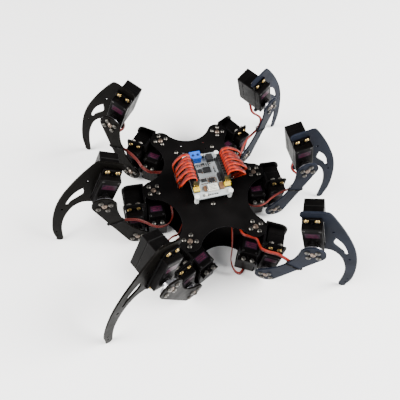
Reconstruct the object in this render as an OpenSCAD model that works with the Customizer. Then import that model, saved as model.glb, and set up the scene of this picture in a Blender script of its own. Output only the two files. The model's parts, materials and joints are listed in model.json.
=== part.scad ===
// Six-legged walking robot: two body plates, eighteen standard servos, single-plate
// femurs and claw-shaped tibias.  Origin: middle of the belly, on its lower face.
// +Y is forwards, +Z is up.  The belly and all six feet stand on z = 0.

/* [Body plates] */
// Thickness of every cut plate
plate_t = 2; // [1.5:0.5:3]
// Clear height between the two body plates
body_gap = 49; // [48.5:0.25:50]
// Distance of a corner hip from the middle, sideways
corner_hip_x = 39; // [36:0.5:44]
// Distance of a corner hip from the middle, lengthways
corner_hip_y = 74.5; // [72:0.5:80]
// Distance of a middle hip from the middle, sideways
middle_hip_x = 64; // [60:0.5:70]
// Radius of the round lobe around each hip
lobe_r = 13; // [12.5:0.25:14]
// Depth of the scallops between lobes, inside the line through the hips
scallop_depth = 8.5; // [5:0.5:12]

/* [Leg proportions] */
// Distance from the hip axis out to the femur shaft
coxa_len = 25.5; // [25:0.5:30]
// Height of the femur shaft above the ground
femur_z = 17.5; // [17.5:0.5:20]
// Distance from the femur shaft to the knee shaft
femur_len = 81; // [80:0.5:84]
// Distance from the hip axis to the horn face of the femur and knee servos
horn_face_y = 37.5; // [37.5:0.25:39]

/* [Stance] */
// Headings of the right legs in front of straight out: front, middle, rear
right_heading = [28, -4, -30]; // [-35:1:45]
// Headings of the left legs in front of straight out: front, middle, rear
left_heading = [38, 4, -25]; // [-35:1:45]
// Inward lean of the right tibias: front, middle, rear
right_lean = [22, 19.5, 23]; // [19.5:0.5:26]
// Inward lean of the left tibias: front, middle, rear
left_lean = [20, 22.5, 24]; // [19.5:0.5:26]

/* [Servo] */
// Length of the servo case
servo_l = 40.7; // [40:0.1:41]
// Width of the servo case
servo_w = 19.7; // [19.5:0.1:20]
// Height of the servo case
servo_h = 37.5; // [37:0.1:38]
// Distance from the output shaft to the near end of the case
shaft_in = 10.2; // [9.8:0.1:10.5]
// Length over both mounting ears
ear_l = 54.5; // [54:0.1:55]
// Distance between the ear holes, lengthways
ear_hole_l = 49.5; // [49:0.1:50]
// Distance between the ear holes, across
ear_hole_w = 10; // [9.5:0.1:10.2]
// Height of the underside of the ears above the base
ear_z = 27.5; // [27:0.1:28]
// Thickness of the ears
ear_t = 2.5; // [2:0.1:3]

/* [Horns and screws] */
// Radius of the round metal horn
horn_r = 10; // [9.5:0.1:10.5]
// Thickness of the horn disc
horn_t = 2.5; // [2:0.1:3]
// Pitch circle of the four horn screws
horn_pcd = 14; // [14:0.1:14.4]
// Radius of an M3 shank
m3_r = 1.5; // [1.45:0.01:1.5]
// Radius of an M3 clearance hole
m3_hole_r = 1.6; // [1.6:0.05:1.7]
// Radius of a button head
head_r = 2.6; // [2.5:0.1:2.9]
// Height of a button head
head_h = 1.8; // [1.6:0.1:2]

/* [Controller] */
// Width of the circuit board
board_w = 46; // [46:1:48]
// Length of the circuit board
board_l = 64; // [62:1:66]
// Height of the nylon pillars under the board
pillar_h = 8; // [6:0.5:10]

/* [Hidden] */
$fn = 48;
cap_fn = 32;
hex = 6;
tiny = 0.01;
seat = 0.02;
fit = 0.05;
gap = 0.3;

// Levels of the body
deck_under = plate_t + body_gap;
deck_top = deck_under + plate_t;

// Levels inside a servo, measured from its base
boss_top = 39;
hub_base = 39.6;
horn_face = 45.5;
disc_base = horn_face - horn_t;
shaft_r = 3;
shaft_base = 34;
hub_r = 4.6;
servo_mid = servo_l / 2 - shaft_in;
servo_far = servo_l - shaft_in;
far_hole = servo_mid + ear_hole_l / 2;
near_hole = servo_mid - ear_hole_l / 2;
far_ear = servo_mid + ear_l / 2;
near_ear = servo_mid - ear_l / 2;

// Where the servos stand in a leg: the hip servo on end, the femur servo on its side
hip_base_z = deck_under - horn_face;
side_base_y = horn_face_y - horn_face;
nut_h = 2.2;
ear_plane_y = side_base_y + ear_z - plate_t;
bracket_z = hip_base_z - plate_t;
half_bracket = servo_w / 2 + 1.2;

// The hips, and the directions of the legs
hips = [[corner_hip_x, corner_hip_y], [middle_hip_x, 0], [corner_hip_x, -corner_hip_y],
    [-corner_hip_x, corner_hip_y], [-middle_hip_x, 0], [-corner_hip_x, -corner_hip_y]];
function heading(k) = k < 3 ? right_heading[k] : 180 - left_heading[k - 3];
function lean(k) = k < 3 ? -right_lean[k] : -left_lean[k - 3];
function is_right(k) = k < 3;

// Claw tip: the middle of its round end, from the knee shaft
tip_x = 25;
tip_z = -107;
tip_r = 4;
// The femur lifts until the round tip of the claw just stands on the ground
function lift(k) = asin((tip_r - femur_z - tip_z * cos(lean(k)) + tip_x * sin(lean(k))) / femur_len);
function knee_x(k) = coxa_len + femur_len * cos(lift(k));
function knee_z(k) = femur_z + femur_len * sin(lift(k));

// ---- shared shapes ----

// Puts its children in the frame of leg k: x outwards, y towards the horns, z up
module in_leg(k) {
    translate([hips[k][0], hips[k][1], 0])
        rotate([0, 0, heading(k)])
            mirror([0, is_right(k) ? 1 : 0, 0])
                children();
}

// Puts its children in the frame of the femur of leg k: x along the femur
module in_femur(k) {
    in_leg(k)
        translate([coxa_len, 0, femur_z])
            rotate([0, -lift(k), 0])
                children();
}

// Puts its children in the frame of the tibia of leg k: origin at the knee shaft
module in_tibia(k) {
    in_leg(k)
        translate([knee_x(k), 0, knee_z(k)])
            rotate([0, lean(k), 0])
                children();
}

// Turns a servo frame (z along the shaft, x along the case) to stand with its shaft along y
module shaft_along_y() {
    multmatrix([[0, 1, 0, 0], [0, 0, 1, side_base_y], [1, 0, 0, 0], [0, 0, 0, 1]])
        children();
}

// Turns a servo frame to hang under the deck with its case along y
module hip_servo_place() {
    translate([0, 0, hip_base_z])
        rotate([0, 0, 90])
            children();
}

// A plate of thickness t in the x-z plane, drawn as x and z, from y upwards
module upright_plate(y, t) {
    translate([0, y + t, 0])
        rotate([90, 0, 0])
            linear_extrude(t)
                children();
}

module rounded_rect(x0, x1, y0, y1, r) {
    hull()
        for (x = [x0 + r, x1 - r], y = [y0 + r, y1 - r])
            translate([x, y])
                circle(r, $fn = cap_fn);
}

// Positions of four screws on the horn's pitch circle
module at_horn_screws(turn) {
    for (a = [0:90:270])
        rotate([0, 0, a + turn])
            translate([horn_pcd / 2, 0, 0])
                children();
}

// Positions of the four ear holes of a servo
module at_ear_holes() {
    for (x = [near_hole, far_hole], y = [-ear_hole_w / 2, ear_hole_w / 2])
        translate([x, y, 0])
            children();
}

// Button-head screw, head standing on z = 0 and shank below, with a hex socket
module button_screw(length, r = m3_r) {
    difference() {
        union() {
            cylinder(h = head_h * 0.55, r = head_r);
            translate([0, 0, head_h * 0.55])
                cylinder(h = head_h * 0.45, r1 = head_r, r2 = head_r * 0.62);
            translate([0, 0, -length])
                cylinder(h = length + tiny, r = r);
        }
        translate([0, 0, head_h * 0.35])
            cylinder(h = head_h, r = 1.15, $fn = hex);
    }
}

// Flat-head screw with its head flush with z = 0 and the shank above
module flat_screw(length) {
    difference() {
        union() {
            cylinder(h = 1.5, r1 = 2.8, r2 = m3_r);
            cylinder(h = length, r = m3_r);
        }
        translate([0, 0, -tiny])
            cylinder(h = 0.9, r = 1.15, $fn = hex);
    }
}

// Hexagon nut lying on z = 0
module nut() {
    difference() {
        cylinder(h = nut_h, r = 3.1, $fn = hex);
        translate([0, 0, -tiny])
            cylinder(h = 3, r = m3_r + fit);
    }
}

// Servo case with its two slotted ears, standing on z = 0, shaft on the z axis
module servo_case() {
    difference() {
        union() {
            translate([-shaft_in, -servo_w / 2, 0])
                cube([servo_l, servo_w, servo_h]);
            translate([near_ear, -servo_w / 2 + 0.6, ear_z])
                cube([ear_l, servo_w - 1.2, ear_t]);
            cylinder(h = boss_top, r = 6.4);
            translate([6.6, 0, 0])
                cylinder(h = boss_top - 0.9, r = 3.4);
            for (x = [-shaft_in, servo_far])
                translate([x == servo_far ? x : x - 2.6, -0.8, ear_z + ear_t - tiny])
                    cube([2.6, 1.6, 2]);
            lead_gland();
        }
        translate([0, 0, shaft_base - 0.5])
            cylinder(h = 10, r = shaft_r + fit);
        at_ear_holes()
            translate([0, 0, ear_z - 1])
                cylinder(h = 5, r = 2.1);
        for (x = [-shaft_in + 2.4, servo_far - 2.4], y = [-servo_w / 2 + 2.4, servo_w / 2 - 2.4])
            translate([x, y, -tiny])
                cylinder(h = 2, r = 1.5);
    }
}

// Where the lead leaves the shaft end of a servo case
module lead_gland() {
    translate([-shaft_in - 1.8, -3, 3])
        cube([1.8 + tiny, 6, 3.4]);
}

// Round metal horn with its output shaft, in the servo frame
module horn(turn) {
    difference() {
        union() {
            translate([0, 0, disc_base])
                cylinder(h = horn_t, r = horn_r);
            translate([0, 0, hub_base])
                cylinder(h = disc_base - hub_base + tiny, r = hub_r);
            translate([0, 0, shaft_base])
                cylinder(h = hub_base - shaft_base + tiny, r = shaft_r);
        }
        translate([0, 0, disc_base - 1])
            at_horn_screws(turn)
                cylinder(h = horn_t + 2, r = m3_r + fit);
        translate([0, 0, shaft_base + 2])
            cylinder(h = horn_face, r = 1.3);
    }
}

// The five screws that hold a plate on a horn, in the servo frame
module horn_screws(turn) {
    translate([0, 0, horn_face + plate_t + seat])
        at_horn_screws(turn)
            button_screw(plate_t + horn_t + 0.5);
    translate([0, 0, horn_face + seat])
        centre_screw();
}

// Larger pan-head screw down the middle of a horn
module centre_screw() {
    difference() {
        union() {
            cylinder(h = 1.6, r = 3.3);
            translate([0, 0, 1.6])
                cylinder(h = 1.2, r1 = 3.3, r2 = 2.2);
            translate([0, 0, -8])
                cylinder(h = 8 + tiny, r = 1.25);
        }
        for (a = [0, 90])
            rotate([0, 0, a])
                translate([-1.8, -0.4, 1.9])
                    cube([3.6, 0.8, 2]);
    }
}

// Holes in a plate where a horn bolts on: four screws and the middle screw
module horn_holes(turn) {
    for (a = [0:90:270])
        rotate(a + turn)
            translate([horn_pcd / 2, 0])
                circle(m3_hole_r);
    circle(3.6);
}

// Screws with their brass heads on the ears, in the servo frame: into tapped holes, or with
// nuts behind the plate
module ear_fasteners(nuts) {
    at_ear_holes()
        translate([0, 0, ear_z + ear_t + seat])
            button_screw(ear_t + plate_t + (nuts ? 2.6 : 0));
    if (nuts)
        at_ear_holes()
            translate([0, 0, ear_z - plate_t - nut_h - seat])
                nut();
}

// ---- body ----

// How far a scallop bites into the lobes, and how far the blank's corners reach past them
bite = 0.15;
corner_reach = 1.5;
// Radius of a scallop that meets two lobes a distance apart
function scallop_r(half) = bite +
    (half * half + scallop_depth * scallop_depth - lobe_r * lobe_r) / (2 * (lobe_r + scallop_depth));
// Hips in order round the body
ring = [hips[0], hips[1], hips[2], hips[5], hips[4], hips[3]];
function next_hip(k) = ring[(k + 1) % 6];
function half_span(k) = norm(next_hip(k) - ring[k]) / 2;
function outward(k) = let (d = next_hip(k) - ring[k]) [-d[1], d[0]] / norm(d);
function scallop_middle(k) = (ring[k] + next_hip(k)) / 2
    + outward(k) * (scallop_r(half_span(k)) - bite - scallop_depth);
function corner(hip, k) = let (d = scallop_middle(k) - hip) hip + d * (lobe_r + corner_reach) / norm(d);

// Lobed blank of a body plate, standing on z = 0
module body_blank() {
    difference() {
        linear_extrude(plate_t)
            polygon([for (k = [0:5], hip = [ring[k], next_hip(k)]) corner(hip, k)]);
        for (k = [0:5])
            translate(concat(scallop_middle(k), [-tiny]))
                cylinder(h = plate_t + 2 * tiny, r = scallop_r(half_span(k)), $fn = 96);
    }
    for (hip = hips)
        translate(hip)
            cylinder(h = plate_t, r = lobe_r);
}

standoffs = [[-24, 50], [24, 50], [0, -34], [0, 24]];
standoff_r = 2.6;
// Front deck holes, belly holes and the slots that the leads come up through
deck_hole = [15, 6];
deck_hole_y = 54;
belly_hole = [18, 15];
belly_hole_y = -5;
slot_right_x = 36;
slot_left_x = 31;
slot_y = 8;
slot_l = 26;
slot_w = 8;

module at_rect(half) {
    for (sx = [-1, 1], sy = [-1, 1])
        translate([sx * half[0], sy * half[1]])
            children();
}

module top_plate() {
    color([0.13, 0.13, 0.15])
        translate([0, 0, deck_under])
            difference() {
                body_blank();
                translate([0, 0, -tiny])
                    linear_extrude(plate_t + 2 * tiny)
                        deck_holes();
            }
}

module deck_holes() {
    for (k = [0:5])
        translate(hips[k])
            rotate(heading(k))
                horn_holes(45);
    for (s = standoffs)
        translate(s)
            circle(m3_hole_r);
    translate([0, deck_hole_y])
        at_rect(deck_hole)
            circle(m3_hole_r);
    translate(board_at)
        at_rect(board_hole)
            circle(m3_hole_r);
    for (x = [slot_right_x, -slot_left_x])
        translate([x, slot_y])
            rounded_rect(-slot_w / 2, slot_w / 2, -slot_l / 2, slot_l / 2, 3);
}

bearing_r = 3.5;
bearing_bore = 2.05;

module bottom_plate() {
    color([0.12, 0.12, 0.14])
        difference() {
            body_blank();
            translate([0, 0, -tiny])
                linear_extrude(plate_t + 2 * tiny)
                    belly_holes();
            for (s = standoffs)
                translate([s[0], s[1], -tiny])
                    cylinder(h = 1.5 + tiny, r1 = 2.9, r2 = m3_hole_r);
        }
}

module belly_holes() {
    for (hip = hips)
        translate(hip)
            circle(bearing_r);
    for (s = standoffs)
        translate(s)
            circle(m3_hole_r);
    translate([0, belly_hole_y])
        at_rect(belly_hole)
            circle(m3_hole_r);
}

module body_standoffs() {
    color([0.72, 0.6, 0.32])
        for (s = standoffs)
            translate([s[0], s[1], plate_t])
                difference() {
                    cylinder(h = body_gap, r = standoff_r, $fn = hex);
                    for (z = [-tiny, body_gap - 8])
                        translate([0, 0, z])
                            cylinder(h = 8 + tiny, r = m3_r + fit);
                }
}

module body_screws() {
    color([0.75, 0.75, 0.77]) {
        for (s = standoffs)
            translate([s[0], s[1], deck_top])
                button_screw(8);
        for (s = standoffs)
            translate([s[0], s[1], 0])
                flat_screw(8);
    }
}

module hip_horns() {
    color([0.35, 0.35, 0.37])
        for (k = [0:5])
            in_leg(k)
                hip_servo_place()
                    horn(45);
}

module hip_screws() {
    color([0.75, 0.74, 0.72])
        for (k = [0:5])
            in_leg(k)
                hip_servo_place()
                    horn_screws(45);
}

// Flanged bearings in the bottom plate, under the hips
module hip_bearings() {
    color([0.7, 0.7, 0.72])
        for (hip = hips)
            translate([hip[0], hip[1], 0])
                difference() {
                    union() {
                        translate([0, 0, 0.2])
                            cylinder(h = plate_t, r = bearing_r - fit);
                        translate([0, 0, plate_t])
                            cylinder(h = 1, r = bearing_r + 0.9);
                    }
                    translate([0, 0, -1])
                        cylinder(h = 6, r = bearing_bore);
                }
}

// ---- controller ----

board_at = [2, 1.5];
board_t = 1.6;
board_hole = [board_w / 2 - 2.5, board_l / 2 - 2.8];
board_z = deck_top + pillar_h;
board_top = board_z + board_t;

module at_board(z) {
    translate([board_at[0], board_at[1], z])
        children();
}

module board_pillars() {
    color([0.9, 0.9, 0.88])
        at_board(deck_top)
            at_rect(board_hole) {
                cylinder(h = pillar_h, r = 2.9, $fn = hex);
                translate([0, 0, -1.8])
                    cylinder(h = 2, r = m3_r);
                translate([0, 0, pillar_h])
                    cylinder(h = board_t + tiny, r = m3_r);
                translate([0, 0, pillar_h + board_t])
                    cylinder(h = 2.4, r = 2.9);
            }
}

module controller_board() {
    color([0.82, 0.84, 0.85])
        at_board(board_z)
            linear_extrude(board_t)
                difference() {
                    rounded_rect(-board_w / 2, board_w / 2, -board_l / 2, board_l / 2, 2);
                    at_rect(board_hole)
                        circle(m3_hole_r);
                }
}

// Chips, capacitors, crystal and the signal socket: [x, y, width, length, height]
CHIPS = [[1.5, 6.5, 9, 8, 1.6], [-7, 6.5, 5, 5, 1.2], [9, 22, 8, 9, 6], [-6, -8, 6, 4, 1.4],
    [3, -9, 7, 5, 1.2], [1, -21, 12, 9, 4], [12, -20, 5, 9, 3], [12.5, -8, 3, 10, 5],
    [-1, 16, 4, 2.2, 1.2], [-8, -20, 3.5, 7, 2]];

module board_chips() {
    color([0.1, 0.1, 0.1])
        at_board(board_top)
            for (c = CHIPS)
                translate([c[0] - c[2] / 2, c[1] - c[3] / 2, 0])
                    cube([c[2], c[3], c[4]]);
}

module power_terminal() {
    color([0.1, 0.35, 0.75])
        at_board(board_top)
            translate([-15, 19, 0])
                difference() {
                    cube([13, 11, 10]);
                    for (x = [3.5, 9.5])
                        translate([x, 5.5, 6])
                            cylinder(h = 5, r = 1.9);
                    for (x = [3.5, 9.5])
                        translate([x - 1.8, 8, 1.2])
                            cube([3.6, 4, 3.6]);
                }
}

header_x = board_w / 2 - 4.2;
header_w = 7.62;
header_l = 44;
header_h = 2.5;

module pin_headers() {
    color([0.08, 0.08, 0.08])
        at_board(board_top)
            for (sx = [-1, 1])
                translate([sx * header_x - header_w / 2, -header_l / 2 - 1, 0])
                    cube([header_w, header_l, header_h]);
}

// ---- leads ----

// Direction of the path p at its point i
function along(p, i) = let (d = p[min(i + 1, len(p) - 1)] - p[max(i - 1, 0)]) d / norm(d);
// Sideways directions along the path p from its point i on, each turned least from the last
function sides(p, i, s) = i == len(p) ? []
    : let (a = along(p, i), c = s - (s * a) * a, u = c / norm(c)) concat([u], sides(p, i + 1, u));

// Closed tube of radius r along the points p, with n sides
module tube(p, r, n = 8) {
    last = len(p) - 1;
    side = sides(p, 0, cross(along(p, 0), [0.3, 0.5, 1.1]));
    function ring_at(i) = [for (j = [0:n - 1])
        p[i] + r * (cos(360 * j / n) * side[i] + sin(360 * j / n) * cross(along(p, i), side[i]))];
    function corner(i, j) = i * n + j % n;
    walls = [for (i = [0:last - 1], j = [0:n - 1], half = [0, 1]) half == 0
        ? [corner(i, j), corner(i, j + 1), corner(i + 1, j + 1)]
        : [corner(i, j), corner(i + 1, j + 1), corner(i + 1, j)]];
    ends = [[for (j = [n - 1:-1:0]) j], [for (j = [0:n - 1]) last * n + j]];
    polyhedron([for (i = [0:last]) each ring_at(i)], concat(walls, ends));
}

// Hermite curve from b to c that leaves along u and arrives along v, at its fraction t
function bend(b, c, u, v, t) = b + (c - b) * t * t * (3 - 2 * t)
    + norm(c - b) * t * (1 - t) * ((1 - t) * u - t * v);
// Smooth curve through the points p, with m steps between two points
function curve(p, m) = concat([for (i = [0:len(p) - 2], j = [0:m - 1])
    bend(p[i], p[i + 1], along(p, i), along(p, i + 1), j / m)], [p[len(p) - 1]]);
// The same with its first and last stretch straight
function lead_curve(p) = concat([p[0]], curve([for (i = [1:len(p) - 2]) p[i]], 2), [p[len(p) - 1]]);

lead_r = 1.1;
leads_a_leg = 3;
// Plugs on the headers, and the leads' places in the deck slots
plug_pitch = 3.81;
plug_first = -14.5;
plug_h = 14;
plug_top = board_top + header_h + plug_h;
slot_row = 2;
slot_pitch = 2.6;

// Place of a lead: k is the leg, j its servo (0 hip, 1 femur, 2 knee), counted from the rear
function place(k, j) = leads_a_leg * (2 - k % 3) + j;
function hand(k) = is_right(k) ? 1 : -1;
function plug_at(k, i) = [board_at[0] + hand(k) * header_x, plug_first + plug_pitch * i];
function slot_x(k) = is_right(k) ? slot_right_x : slot_left_x;
function slot_at(k, i) = [hand(k) * (slot_x(k) + slot_row * (i % 2 == 0 ? 1 : -1)),
    slot_y + slot_pitch * (i - 4)];

// A point of the frame of leg k, in the robot's frame
function to_body(k, p) = let (a = heading(k), s = is_right(k) ? -1 : 1)
    [hips[k][0] + p[0] * cos(a) - s * p[1] * sin(a), hips[k][1] + p[0] * sin(a) + s * p[1] * cos(a), p[2]];

// Points of the frame of the femur and of the tibia of leg k, in the frame of the leg
function from_femur(k, p) = [coxa_len + p[0] * cos(lift(k)) - p[2] * sin(lift(k)), p[1],
    femur_z + p[0] * sin(lift(k)) + p[2] * cos(lift(k))];
function from_tibia(k, p) = [knee_x(k) + p[0] * cos(lean(k)) + p[2] * sin(lean(k)), p[1],
    knee_z(k) - p[0] * sin(lean(k)) + p[2] * cos(lean(k))];

gland_y = side_base_y + 4.7;
gland_z = -shaft_in - 1.85;
// The lead of each servo, from its gland to where it passes under the deck, in the leg frame.
// Knee leads run along the femur plate and round the hip servo's far end.  That of the right
// rear leg passes between the two servos, and that of the left rear leg along the back flange
right_rear = 2;
left_rear = 5;
function knee_route(k) = concat(
    [for (p = concat([[0, gland_y, gland_z], [0, gland_y, gland_z - 7]], k == left_rear
        ? [[-4, gland_y - 3, gland_z - 14]]
        : [[-3, gland_y + 6, gland_z - 13], [-10, gland_y + 17, gland_z - 14]])) from_tibia(k, p)],
    [for (p = k == left_rear ? [[54, -9, -10.5], [46, -12, -3.5], [38, -14, 3]]
        : concat([[55, 29, -9], [44, 34, -5]], k == right_rear ? [[39, 31, 4]] : [[36, 33.5, 1]]))
        from_femur(k, p)],
    k == left_rear ? [[30, -16, 49.5], [20, -17.5, 47], [10, -18.5, 46.5], [2, -18, 44]]
    : k == right_rear ? [[29, 28, 54], [21, 27, 51.5], [15, 25.5, 49.8], [11, 23, 48.2], [8, 17.5, 46.3],
        [4.5, 12, 45.9], [-3, 11, 45.6], [-12, 9, 44.5]]
    : concat([[24, 34.3, 49], [14, 37, 44], [6, 41, 41], [-4, 42.5, 39], [-13, 38, 37]],
        k % 3 > 0 ? [[-18.5, 28, 36], [-19, 14, 41]] : []));
// Past the back flange, but on the right rear leg under the bracket and round the hip servo's
// far end
function femur_route(k) = concat([[coxa_len, gland_y, femur_z + gland_z], [coxa_len, gland_y, 4.7]],
    k == right_rear
        ? [[coxa_len - 2, gland_y + 0.5, 2.5], [17.5, 2, 1.8], [13, 11, 1.8], [7, 19, 1.8], [1.5, 30, 1.9],
           [-1, 38, 4], [-5, 43.5, 11], [-12, 44, 20], [-18, 38, 30], [-20, 28, 38]]
        : [[coxa_len, gland_y - 2, 2.8], [coxa_len - 0.5, -9, 2.2], [coxa_len - 1, -14, 4.5], [22, -16, 13],
           [16, -16.5, 25], [13.2, -15, 36], [8, -13.5, 43], [-2, -13.5, 46.8],
           if (k != left_rear) [-13, -7, 46.8]]);
function hip_route(k) = [[0, gland_z, hip_base_z + 4.7], [0, gland_z - 4, hip_base_z + 4.7],
    [-4, -19.5, 15], [-10, -20, 24], [-15, -16, 33],
    if (k % 3 < 2) [-17, -9, 39]];

// Ways inside the body to the slots, as if on the right: for the front, middle, right rear and
// left rear leg, the leads of the hip, femur and knee servos
INSIDE = [
    [[[29, 48, 33], [31, 28, 34]], [[29.5, 48, 37.5], [28, 28, 39]], [[35.5, 29, 41]]],
    [[[40, 3, 38], [34, 4, 41]], [[44, 9, 44]], [[41, -7, 33], [34, 1, 31], [30, 9, 36]]],
    [[[34, -46, 40], [36, -18, 42]], [[13, -72, 43], [17, -56, 45], [24, -38, 46], [31, -18, 44]],
        [[25, -60, 40], [30, -40, 34], [35, -15, 34], [37, -4, 38]]],
    [[[34, -46, 40], [36, -18, 42]], [[30, -46, 44], [31, -18, 42]],
        [[41, -47, 39], [32, -34, 36], [31, -12, 35]]]];
function inside(k, j) = [for (p = INSIDE[k == left_rear ? 3 : k % 3][j]) [hand(k) * p[0], p[1], p[2]]];

function lead_route(k, j) = let (i = place(k, j), q = slot_at(k, i))
    concat([for (p = j == 0 ? hip_route(k) : j == 1 ? femur_route(k) : knee_route(k)) to_body(k, p)],
        inside(k, j), [[q[0], q[1], 45], [q[0], q[1], 49.2], [q[0], q[1], deck_under - fit]]);

// The slack of a lead: up through its slot, over in an arch and down into its plug
function slack_route(k, i) = let (h = hand(k), q = slot_at(k, i), p = plug_at(k, i), b = i % 3,
        out = q[0] + h * (is_right(k) ? 5 + 2 * b : 1 + b))
    [[q[0], q[1], deck_under + fit], [q[0], q[1], 53], [out, (q[1] + p[1]) / 2, 65], [out, p[1], 76],
     [(q[0] + p[0]) / 2 + h * 2, p[1], 86 + b], [p[0] + h * 2, p[1], 85.5 + b],
     [p[0], p[1], plug_top + 2], [p[0], p[1], plug_top + fit]];

module leg_leads(first) {
    color([0.75, 0.27, 0.12])
        for (k = [first:first + 2], j = [0:leads_a_leg - 1])
            tube(lead_curve(lead_route(k, j)), lead_r);
}

module lead_slack(first) {
    color([0.8, 0.3, 0.14])
        for (k = [first:first + 2], j = [0:leads_a_leg - 1])
            tube(lead_curve(slack_route(k, place(k, j))), lead_r);
}

module left_leg_leads() {
    leg_leads(3);
}

module right_leg_leads() {
    leg_leads(0);
}

module left_lead_slack() {
    lead_slack(3);
}

module right_lead_slack() {
    lead_slack(0);
}

// Three-pin plugs on the headers, one for each lead
plug_size = [7.6, 2.5];
module lead_plugs() {
    color([0.06, 0.06, 0.06])
        for (k = [0:5], j = [0:leads_a_leg - 1])
            translate(concat(plug_at(k, place(k, j)), [board_top + header_h + seat]))
                translate([-plug_size[0] / 2, -plug_size[1] / 2, 0])
                    cube([plug_size[0], plug_size[1], plug_h - seat]);
}

// ---- coxa ----

// Folded bracket: floor under the hip servo, cheeks to its ears, and a channel for the
// femur servo
floor_front = servo_far + 0.8;
floor_back = -shaft_in - 1;
web_x = half_bracket;
channel_x = coxa_len + servo_w / 2 + 2.4;
channel_top = femur_z + far_ear + 0.5;
channel_base = femur_z + near_ear + 0.4;
// The back flange stops above the lead that leaves the femur servo
flange_base = femur_z - shaft_in + 0.2;

module coxa_bracket(k) {
    color([0.14, 0.14, 0.16])
        in_leg(k) {
            difference() {
                union() {
                    bracket_floor();
                    hip_cheeks();
                    bracket_web();
                    back_flange();
                    ear_flange();
                }
                hip_servo_place()
                    at_ear_holes()
                        cylinder(h = ear_z, r = m3_hole_r);
                lobe_clearance();
                gland_notch();
            }
            hip_pin();
        }
}

// Room for the deck's round lobe above the bracket's web
module lobe_clearance() {
    translate([0, 0, deck_under - 0.6])
        cylinder(h = plate_t + 10, r = lobe_r + 0.8);
}

// Notch in the near cheek around the lead of the hip servo
module gland_notch() {
    translate([-4.5, floor_back - plate_t - 1, hip_base_z + 1])
        cube([9, plate_t + 2, 8]);
}

module bracket_floor() {
    translate([0, 0, bracket_z])
        linear_extrude(plate_t)
            rounded_rect(-half_bracket, web_x + plate_t, floor_back, floor_front + plate_t, 1.5);
}

// Two cheeks up the ends of the hip servo, each with a tab under its ears
module hip_cheeks() {
    tab_z = hip_base_z + ear_z - plate_t;
    for (y = [floor_front, floor_back - plate_t])
        translate([-half_bracket, y, bracket_z])
            cube([2 * half_bracket, plate_t, tab_z - bracket_z + plate_t]);
    for (y = [floor_front, near_ear])
        translate([-half_bracket, y, tab_z])
            cube([2 * half_bracket, y > 0 ? far_ear - y : floor_back - y, plate_t]);
}

// Upright web between the two servos
module bracket_web() {
    translate([web_x, side_base_y - plate_t, bracket_z])
        cube([plate_t, ear_plane_y - side_base_y + 2 * plate_t, channel_top - bracket_z]);
}

// Flange behind the base of the femur servo, with a round outer corner
module back_flange() {
    upright_plate(side_base_y - plate_t, plate_t)
        hull() {
            translate([web_x, flange_base])
                square([plate_t, channel_top - flange_base]);
            translate([channel_x - 10, channel_top - 10])
                circle(10, $fn = cap_fn);
            translate([channel_x - 4, flange_base + 4])
                circle(4, $fn = cap_fn);
        }
}

// Flange that carries the ears of the femur servo, cut out around its case
module ear_flange() {
    upright_plate(ear_plane_y, plate_t)
        difference() {
            rounded_rect(web_x, channel_x, channel_base, channel_top, 2);
            translate([coxa_len - servo_w / 2 - gap, femur_z - shaft_in - gap])
                square([servo_w + 2 * gap, servo_l + 2 * gap]);
            for (z = [near_hole, far_hole], x = [-ear_hole_w / 2, ear_hole_w / 2])
                translate([coxa_len + x, femur_z + z])
                    circle(m3_hole_r);
        }
}

// Pivot pin under the bracket, running in the bearing of the bottom plate
module hip_pin() {
    translate([0, 0, 0.4])
        cylinder(h = bracket_z - 0.4 + tiny, r = bearing_bore - fit);
    translate([0, 0, plate_t + 1.1])
        cylinder(h = bracket_z - plate_t - 1.1 + tiny, r = 3);
}

module coxa_servos(k) {
    color([0.07, 0.07, 0.08])
        in_leg(k) {
            hip_servo_place()
                servo_case();
            translate([coxa_len, 0, femur_z])
                shaft_along_y()
                    servo_case();
        }
}

module coxa_screws(k) {
    color([0.76, 0.62, 0.34])
        in_leg(k) {
            hip_servo_place()
                ear_fasteners(false);
            translate([coxa_len, 0, femur_z])
                shaft_along_y()
                    ear_fasteners(true);
        }
}

// ---- femur ----

femur_end_r = 12.6;
// Waist of the femur plate: its concave edge and the curve's radius
waist_edge = 3;
waist_half = femur_len / 2;
waist_r = (waist_half * waist_half - femur_end_r * femur_end_r + waist_edge * waist_edge)
    / (2 * (femur_end_r - waist_edge));

module femur_blank() {
    difference() {
        translate([0, horn_face_y, -femur_end_r])
            cube([femur_len, plate_t, 2 * femur_end_r]);
        translate([waist_half, horn_face_y + plate_t + tiny, waist_edge + waist_r])
            rotate([90, 0, 0])
                cylinder(h = plate_t + 2 * tiny, r = waist_r, $fn = 96);
    }
    for (x = [0, femur_len])
        translate([x, horn_face_y + plate_t, 0])
            rotate([90, 0, 0])
                cylinder(h = plate_t, r = femur_end_r);
}

// Everything cut out of the femur plate, drawn as x and z
module femur_cuts() {
    for (x = [0, femur_len])
        translate([x, 0])
            horn_holes(0);
}

module femur_plate(k) {
    color([0.13, 0.13, 0.15])
        in_femur(k)
            difference() {
                femur_blank();
                upright_plate(horn_face_y - tiny, plate_t + 2 * tiny)
                    femur_cuts();
            }
}

module femur_horns(k) {
    color([0.7, 0.7, 0.72])
        in_femur(k)
            for (x = [0, femur_len])
                translate([x, 0, 0])
                    shaft_along_y() {
                        horn(0);
                        horn_screws(0);
                    }
}

// ---- tibia ----

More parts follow.
